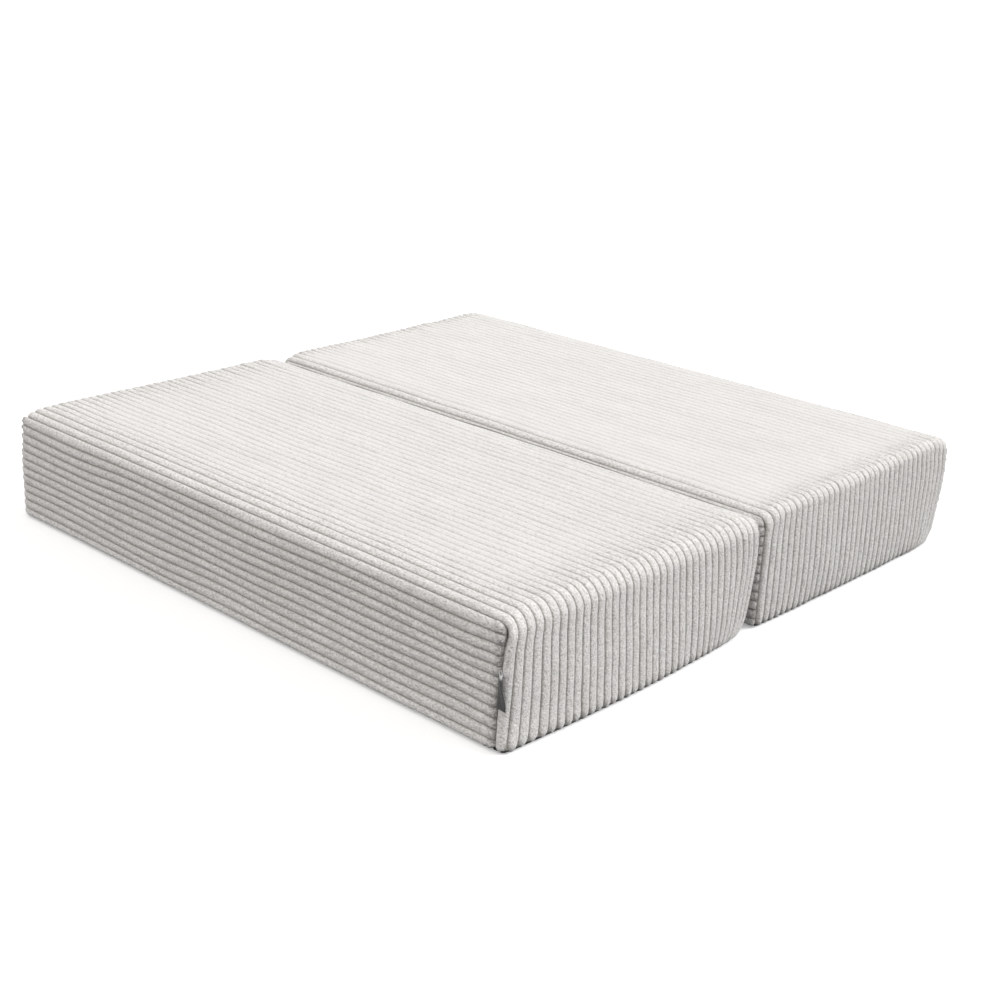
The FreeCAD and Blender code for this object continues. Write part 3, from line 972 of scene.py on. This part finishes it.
def woven(name, dark, light, per_metre, roughness=0.85, sheen=0.2, stretch=(1, 1, 1), axes=("X", "Y")):
    """Plain weave of two thread sets, with uneven yarns."""
    material, tree, _ = principled(name, Sheen_Weight=sheen, Specular_IOR_Level=0.25)
    at = place(tree, stretch)
    warp = threads(tree, at, per_metre, axes[0], 0.6)
    weft = threads(tree, at, per_metre, axes[1], 0.6)
    weave = maths(tree, "MULTIPLY", warp, weft)
    slub = noise(tree, at, per_metre * 0.12, 4, 0.6)
    worn = noise(tree, at, 9, 3, 0.5)
    uneven = maths(tree, "MULTIPLY", slub, 0.5)
    mixed = maths(tree, "ADD", maths(tree, "MULTIPLY", weave, 0.6), uneven)
    colour = blend_colour(tree, mixed, dark, light)
    colour = blend_colour(tree, spread(tree, worn, 0.4, 0.7, 0.0, 0.35), colour, light)
    rough = spread(tree, slub, 0.3, 0.7, roughness - 0.08, roughness + 0.08)
    normal = bump(tree, weave, 0.0005, 0.8, bump(tree, worn, 0.002, 0.3))
    return finished(material, colour, rough, normal)


def foam(name, dark, light, per_metre):
    """Open-cell foam with cut cells, painted shade in their hollows, slightly yellowed in patches."""
    material, tree, _ = principled(name, Specular_IOR_Level=0.2, Subsurface_Weight=0.05)
    at = place(tree)
    cell = spread(tree, cells(tree, at, per_metre), 0.0, 0.25)
    patches = noise(tree, at, 6, 4, 0.6)
    # Painted shade in the hollows of the cells, paler on their walls.
    colour = blend_colour(tree, cell, light, dark)
    colour = blend_colour(tree, spread(tree, patches, 0.4, 0.7, 0.0, 0.4), colour, light)
    rough = spread(tree, patches, 0.3, 0.7, 0.85, 0.95)
    normal = bump(tree, cell, 0.0008, 0.7, bump(tree, patches, 0.003, 0.4))
    return finished(material, colour, rough, normal)


def wadding():
    """Loose white polyester fibre."""
    material, tree, _ = principled("polyester_wadding", Sheen_Weight=0.5, Specular_IOR_Level=0.2)
    strands = noise(tree, place(tree, (0.5, 1.0, 1.0)), 240, 6, 0.7)
    clumps = noise(tree, place(tree), 30, 3, 0.5)
    colour = blend_colour(tree, strands, (0.80, 0.80, 0.80), (0.95, 0.95, 0.95))
    rough = spread(tree, clumps, 0.3, 0.7, 0.85, 0.98)
    normal = bump(tree, strands, 0.0012, 0.9, bump(tree, clumps, 0.006, 0.6))
    return finished(material, colour, rough, normal)


def moulded(name, dark, light, metallic, roughness, grain):
    """Small moulded or cast zip part with a fine brushed grain and rubbed spots."""
    material, tree, _ = principled(name, Metallic=metallic)
    brushed = noise(tree, place(tree, (1.0, 1.0, 6.0)), grain, 3, 0.6)
    rubbed = noise(tree, place(tree), 160, 3, 0.6)
    colour = blend_colour(tree, spread(tree, rubbed, 0.35, 0.7), dark, light)
    rough = spread(tree, brushed, 0.3, 0.7, roughness - 0.08, roughness + 0.10)
    normal = bump(tree, brushed, 0.00006, 0.6)
    return finished(material, colour, rough, normal)


def satin():
    """Dark grey satin of the label: fine diagonal twill with a soft shine and a painted sheen on the twill,
    and a pale top edge.
    """
    material, tree, _ = principled("label_satin", Sheen_Weight=0.1, Specular_IOR_Level=0.4)
    at = place(tree)
    twill = threads(tree, at, 1500, "DIAGONAL", 0.4)
    wear = noise(tree, at, 90, 4, 0.6)
    edge = tree.nodes.new("ShaderNodeSeparateXYZ")
    coordinates = tree.nodes.new("ShaderNodeTexCoord")
    tree.links.new(coordinates.outputs["UV"], edge.inputs[0])
    # The label is paler along its top edge.
    pale_top_band = spread(tree, edge.outputs["Y"], 0.86, 0.93)
    # Painted sheen on the twill, varied by the wear noise, lightens the dark satin.
    shine = maths(tree, "MULTIPLY", twill, wear)
    colour = blend_colour(tree, shine, (0.018, 0.019, 0.020), (0.055, 0.056, 0.058))
    colour = blend_colour(tree, pale_top_band, colour, (0.75, 0.75, 0.75))
    rough = spread(tree, wear, 0.3, 0.7, 0.38, 0.55)
    return finished(material, colour, rough, bump(tree, twill, 0.00015, 0.7))


def paint(piece, material):
    """Gives a piece its only material."""
    piece.data.materials.clear()
    piece.data.materials.append(material)


def studio_floor():
    """Plain pale floor, a little lit from within so that it shows white."""
    half_size = 40.0
    material, tree, shader = principled("studio_floor", Specular_IOR_Level=0.1)
    shade = noise(tree, place(tree), 1.5, 2, 0.5)
    colour = blend_colour(tree, shade, (0.93, 0.93, 0.93), (0.96, 0.96, 0.96))
    tree.links.new(colour, shader.inputs["Base Color"])
    shader.inputs["Roughness"].default_value = 0.9
    shader.inputs["Emission Color"].default_value = (1, 1, 1, 1)
    shader.inputs["Emission Strength"].default_value = 0.30
    mesh = bpy.data.meshes.new("studio_floor")
    corners = [(a * half_size, b * half_size, 0) for a, b in ((-1, -1), (1, -1), (1, 1), (-1, 1))]
    mesh.from_pydata(corners, [], [(0, 1, 2, 3)])
    floor = link(bpy.data.objects.new("studio_floor", mesh))
    paint(floor, material)
    floor.visible_diffuse = False


def sun_light(name, towards, spread_degrees, strength, colour=(1, 1, 1)):
    """Very soft distant light that shines from the given direction."""
    data = bpy.data.lights.new(name, "SUN")
    data.angle = math.radians(spread_degrees)
    data.energy = strength
    data.color = colour
    lamp = link(bpy.data.objects.new(name, data))
    lamp.location = Vector(towards) * 3
    lamp.rotation_euler = (-Vector(towards)).to_track_quat("-Z", "Y").to_euler()


# ---- making
def make_block(block, centre, seed):
    """All the soft pieces of one block."""
    padding = puff(block + "_padding", seed)
    rear = block == "rear"
    bend, sag = (REAR_BEND, REAR_SAG) if rear else (FRONT_BEND, FRONT_SAG)
    plain_puff, zipped_puff = (GAP_PUFF, 1.0) if rear else (1.0, GAP_PUFF)
    made = {
        "top_cover": top_panel(block + "_top_cover", centre, padding, seed + 10, bend, sag),
        "plain_side": side_panel(block + "_plain_side", centre, padding, seed + 20, False, plain_puff),
        "zipped_side": side_panel(block + "_zipped_side", centre, padding, seed + 30, True, zipped_puff),
        "base_cloth": base_panel(block + "_base_cloth", centre, sag),
    }
    # Heights of each layer's low and high face, its inset and the radius of its edges
    layers = {
        "knit_liner": (0.004, TOP - 0.011, LINER_INSET, 0.010),
        "firm_foam": (0.005, foam_low.z, FOAM_INSET, 0.004),
        "soft_foam": (foam_low.z + LAYER_GAP, foam_high.z, FOAM_INSET, 0.004),
        "wadding": (foam_high.z + LAYER_GAP, TOP - 0.012, FOAM_INSET, 0.005),
    }
    for key, sizes in layers.items():
        made[key] = filling(block + "_" + key, centre, *sizes)
    made["zip_teeth"] = zip_teeth(block + "_zip_teeth", block + "_zip_coil")
    stands_for = {
        "top_cover": ("top_panel", "corduroy"),
        "plain_side": ("outer_side_panel", "corduroy"),
        "zipped_side": ("inner_side_panel", "corduroy"),
        "base_cloth": ("base_panel", "base_cloth"),
        "knit_liner": ("liner", "liner_knit"),
        "firm_foam": ("support_foam", "firm_foam"),
        "soft_foam": ("comfort_foam", "soft_foam"),
        "wadding": ("fibre_pad", "wadding"),
        "zip_teeth": ("zip_coil", "zip_coil"),
    }
    for key, piece in made.items():
        node, slot = stands_for[key]
        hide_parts(block + "_" + node)
        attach(piece, block + "_block")
    return made


studio_floor()
blocks = {block: make_block(block, centre, 100 + 100 * i) for i, (block, centre) in enumerate(BLOCKS)}

tape = hinge_strip()
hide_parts("hinge_strip")
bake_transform(tape)

tag = corner_tag()
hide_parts("corner_label")
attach(tag, "front_block")

plush = corduroy()
looks = {
    "top_cover": plush,
    "plain_side": plush,
    "zipped_side": plush,
    "base_cloth": woven("base_cloth", (0.010, 0.010, 0.011), (0.05, 0.05, 0.052), 500, 0.9),
    "knit_liner": woven("liner_knit", (0.72, 0.72, 0.70), (0.90, 0.90, 0.88), 420, 0.9),
    "firm_foam": foam("firm_foam", (0.55, 0.53, 0.46), (0.84, 0.82, 0.74), 500),
    "soft_foam": foam("soft_foam", (0.66, 0.63, 0.55), (0.93, 0.91, 0.84), 620),
    "wadding": wadding(),
    "zip_teeth": moulded("zip_nylon", (0.62, 0.61, 0.59), (0.80, 0.79, 0.77), 0.0, 0.42, 300),
}
zip_cloth = woven("zip_tape", (0.55, 0.54, 0.52), (0.80, 0.79, 0.77), 900, 0.8, 0.2, (1, 1, 1), ("X", "Z"))
metal = moulded("zip_metal", (0.42, 0.41, 0.40), (0.62, 0.61, 0.60), 0.9, 0.34, 900)

for block, made in blocks.items():
    for key, piece in made.items():
        paint(piece, looks[key])
    for part in ("tape_upper", "tape_lower"):
        paint(nodes[block + "_zip_" + part], zip_cloth)
    for part in ("stops", "slider", "pull"):
        paint(nodes[block + "_zip_" + part], metal)
# A real tape, coloured darker than the cover as painted shade in the gap between the blocks.
paint(tape, woven("hinge_tape", (0.20, 0.19, 0.18), (0.42, 0.40, 0.38), 500, 0.9))
paint(tag, satin())


# ---- light and camera
def studio_sky(below, horizon, above):
    """Plain white surroundings: a bright horizon, a softer sky and a dim ground."""
    world = bpy.data.worlds.new("studio")
    world.use_nodes = True
    tree = world.node_tree
    background = tree.nodes["Background"]
    coordinates = tree.nodes.new("ShaderNodeTexCoord")
    split = tree.nodes.new("ShaderNodeSeparateXYZ")
    tree.links.new(coordinates.outputs["Generated"], split.inputs[0])
    rise = spread(tree, split.outputs["Z"], -0.10, -0.04, below, horizon)
    fade = spread(tree, split.outputs["Z"], 0.14, 0.24, 0.0, above - horizon)
    tree.links.new(maths(tree, "ADD", rise, fade), background.inputs["Strength"])
    background.inputs["Color"].default_value = (1, 1, 1, 1)
    bpy.context.scene.world = world


studio_sky(0.04, 0.90, 0.54)
bpy.context.scene.view_settings.view_transform = "Standard"
sun_light("key", (0.62, 0.60, 0.50), 35, 2.65)
sun_light("front_fill", (0.12, -0.66, 0.74), 60, 1.25, (1.0, 0.97, 0.93))

lens = bpy.data.cameras.new("camera")
lens.lens = CAMERA_LENS
lens.sensor_width = 36
camera = link(bpy.data.objects.new("camera", lens))
right = Vector(CAMERA_RIGHT).normalized()
forward = Vector(CAMERA_FORWARD)
forward = (forward - right * forward.dot(right)).normalized()
turn = Matrix((right, right.cross(forward), -forward)).transposed().to_4x4()
camera.matrix_world = Matrix.Translation(CAMERA_PLACE) @ turn
bpy.context.scene.camera = camera
